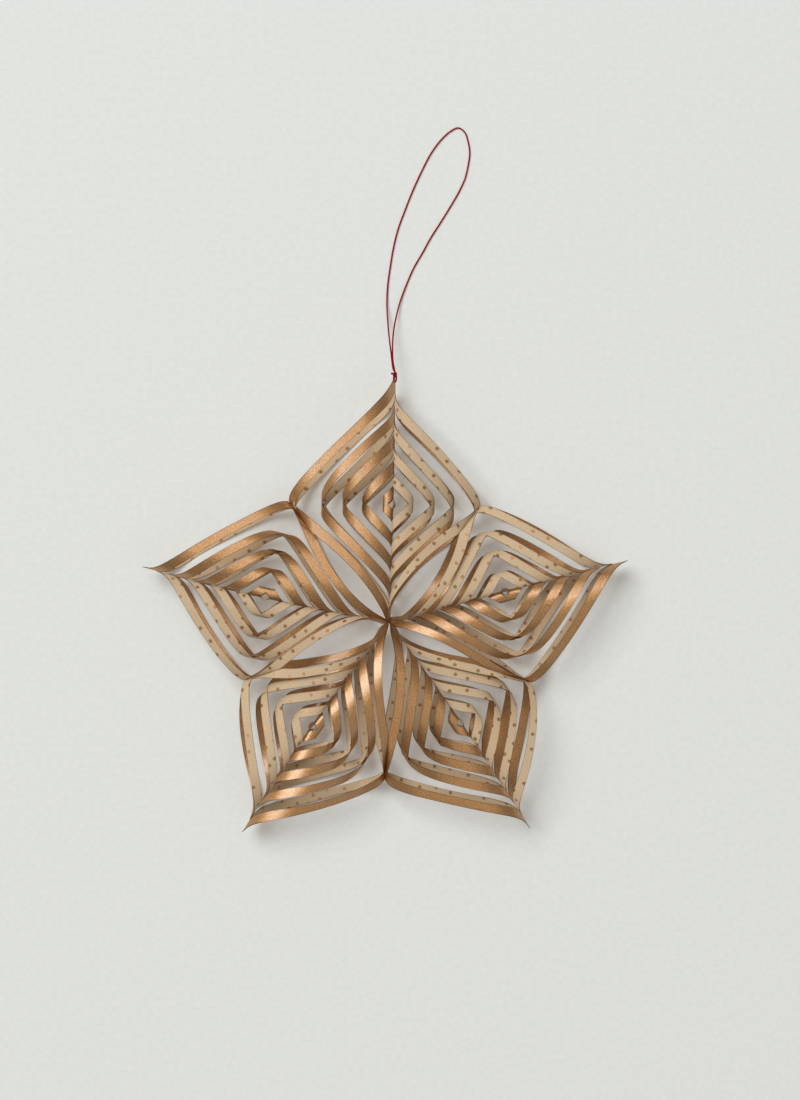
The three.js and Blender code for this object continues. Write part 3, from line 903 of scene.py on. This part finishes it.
def eye_line(top, hole):
    """The long eye through the paper, from the knot round and back to it."""
    centre = hole + top.out * (EYE_LENGTH / 2)
    line = []
    for i in range(EYE_STEPS + 1):
        angle = EYE_GAP + (2 * math.pi - 2 * EYE_GAP) * i / EYE_STEPS
        drawn_in = EYE_DRAWN_IN * (1 + math.cos(angle)) / 2
        along = math.cos(angle) * EYE_LENGTH / 2
        across = math.sin(angle) * EYE_WIDTH / 2 * (1 - drawn_in)
        line.append(centre + top.out * along + top.clockwise * across)
    return line


def wrap_line(top, knot):
    """The wraps round the knot, widest in the middle."""
    line = []
    for i in range(WRAP_STEPS + 1):
        share = i / WRAP_STEPS
        angle = 2 * math.pi * WRAP_TURNS * share
        swell = WRAP_RADIUS * (1 - WRAP_TAPER + WRAP_TAPER * math.sin(math.pi * share))
        spot = knot + top.out * (WRAP_LENGTH * (0.5 - share) - WRAP_SETS_BACK)
        spot += top.clockwise * (swell * math.cos(angle))
        spot += Vector((0, 0, swell * math.sin(angle)))
        line.append(spot)
    return line


def stub_line(top, knot):
    """The cut end, which stands up beside the knot."""
    way = Vector((0, 0, math.sin(STUB_RISE))) - top.clockwise * math.cos(STUB_RISE)
    start = knot - top.out * STUB_SETS_BACK
    return [start + way * (STUB_START + STUB_LENGTH * i / STUB_STEPS) for i in range(STUB_STEPS + 1)]


def make_thread(material):
    """The knot at the tip with its eye through the paper, and the loop that lies on the table."""
    top = Petal(0)
    hole = HUB + top.out * (top.tip - HOLE_INSET)
    knot = hole + top.out * (EYE_LENGTH + KNOT_RADIUS / 2)

    line = loop_line(knot)
    loop = new_object("thread_loop_yarn", *yarn(line, THREAD), [material], "loop")
    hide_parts("thread_loop")

    strands = [
        yarn(eye_line(top, hole), THREAD),
        yarn(wrap_line(top, knot), THREAD),
        yarn(stub_line(top, knot), THREAD * STUB_SWELL),
    ]
    vertices = []
    faces = []
    for strand_vertices, strand_faces in strands:
        first = len(vertices)
        vertices += strand_vertices
        faces += [tuple(first + corner for corner in face) for face in strand_faces]
    knot_piece = new_object("thread_knot_yarn", vertices, faces, [material], "knot")
    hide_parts("thread_knot")


def make_glue_dab(joint, material):
    """A thin film pressed out between two side corners."""
    out = direction(joint["turn"])
    across = direction(joint["turn"] + 90)
    centre = HUB + out * (joint["radius"] * SHEET_SIDE)
    vertices = []
    for place, share in FILM_PROFILE:
        for side in range(FILM_SIDES):
            angle = 2 * math.pi * side / FILM_SIDES
            spot = centre + across * (place * FILM_HALF_THICKNESS)
            spot += out * (math.cos(angle) * FILM_HALF_LENGTH * share)
            spot += Vector((0, 0, math.sin(angle) * FILM_HALF_HEIGHT * share))
            vertices.append(spot)
    faces = tube_faces(len(FILM_PROFILE), FILM_SIDES)
    piece = new_object(joint["name"] + "_film", vertices, faces, [material], "star")
    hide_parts(joint["name"])


def make_hub_drop(material):
    """A small drop sunk between the petals' inner corners."""
    vertices = []
    for ring in range(1, DROP_RINGS):
        polar = math.pi * ring / DROP_RINGS
        height = DROP_HALF_HEIGHT * math.cos(polar)
        for side in range(DROP_SIDES):
            angle = 2 * math.pi * side / DROP_SIDES
            lobe = 1 + LOBE_SHARE * math.cos(DROP_LOBES * angle)
            reach = DROP_RADIUS * math.sin(polar) * lobe
            vertices.append(HUB + Vector((math.cos(angle) * reach, math.sin(angle) * reach, height)))
    faces = []
    last = DROP_RINGS - 2
    for ring in range(last):
        for side in range(DROP_SIDES):
            here = ring * DROP_SIDES + side
            beside = ring * DROP_SIDES + (side + 1) % DROP_SIDES
            faces.append((here, here + DROP_SIDES, beside + DROP_SIDES, beside))
    faces.append(tuple(range(DROP_SIDES)))
    faces.append(tuple(reversed([last * DROP_SIDES + side for side in range(DROP_SIDES)])))
    piece = new_object("glue_hub_drop", vertices, faces, [material], "star")
    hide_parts("glue_hub")


def make_floor(material):
    size = FLOOR_HALF_SIDE
    mesh = bpy.data.meshes.new("floor")
    corners = [(-size, -size, 0), (size, -size, 0), (size, size, 0), (-size, size, 0)]
    mesh.from_pydata(corners, [], [(0, 1, 2, 3)])
    mesh.materials.append(material)
    floor = bpy.data.objects.new("floor", mesh)
    bpy.context.collection.objects.link(floor)


def make_lights():
    """A warm, dim sky, a soft key light from the upper left and a weak fill from the lower right."""
    world = bpy.data.worlds.new("world")
    bpy.context.scene.world = world
    world.use_nodes = True
    background = world.node_tree.nodes["Background"]
    background.inputs["Color"].default_value = (1, 0.955, 0.91, 1)
    background.inputs["Strength"].default_value = 0.24
    lamps = (
        ("key", (-2.3, 2.3, 4.7), 3.6, 243.0, (1, 0.985, 0.955)),
        ("fill", (2.2, -2.0, 3.4), 3.0, 14.0, (0.97, 0.985, 1)),
    )
    for name, place, size, power, color in lamps:
        data = bpy.data.lights.new(name, "AREA")
        data.size = size
        data.energy = power
        data.color = color
        lamp = bpy.data.objects.new(name, data)
        lamp.location = place
        aim = LAMP_AIM - Vector(place)
        lamp.rotation_euler = aim.to_track_quat("-Z", "Y").to_euler()
        bpy.context.collection.objects.link(lamp)


make_camera()
make_thread(thread_material())
PAPER_FINISH = [bronze_material(), printed_material(), edge_material()]
for place in range(len(PETALS)):
    make_petal(place, PAPER_FINISH)
GLUE_FINISH = glue_material()
for joint in JOINTS:
    make_glue_dab(joint, GLUE_FINISH)
make_hub_drop(GLUE_FINISH)
make_floor(floor_material())
make_lights()

bpy.context.scene.view_settings.view_transform = "Standard"
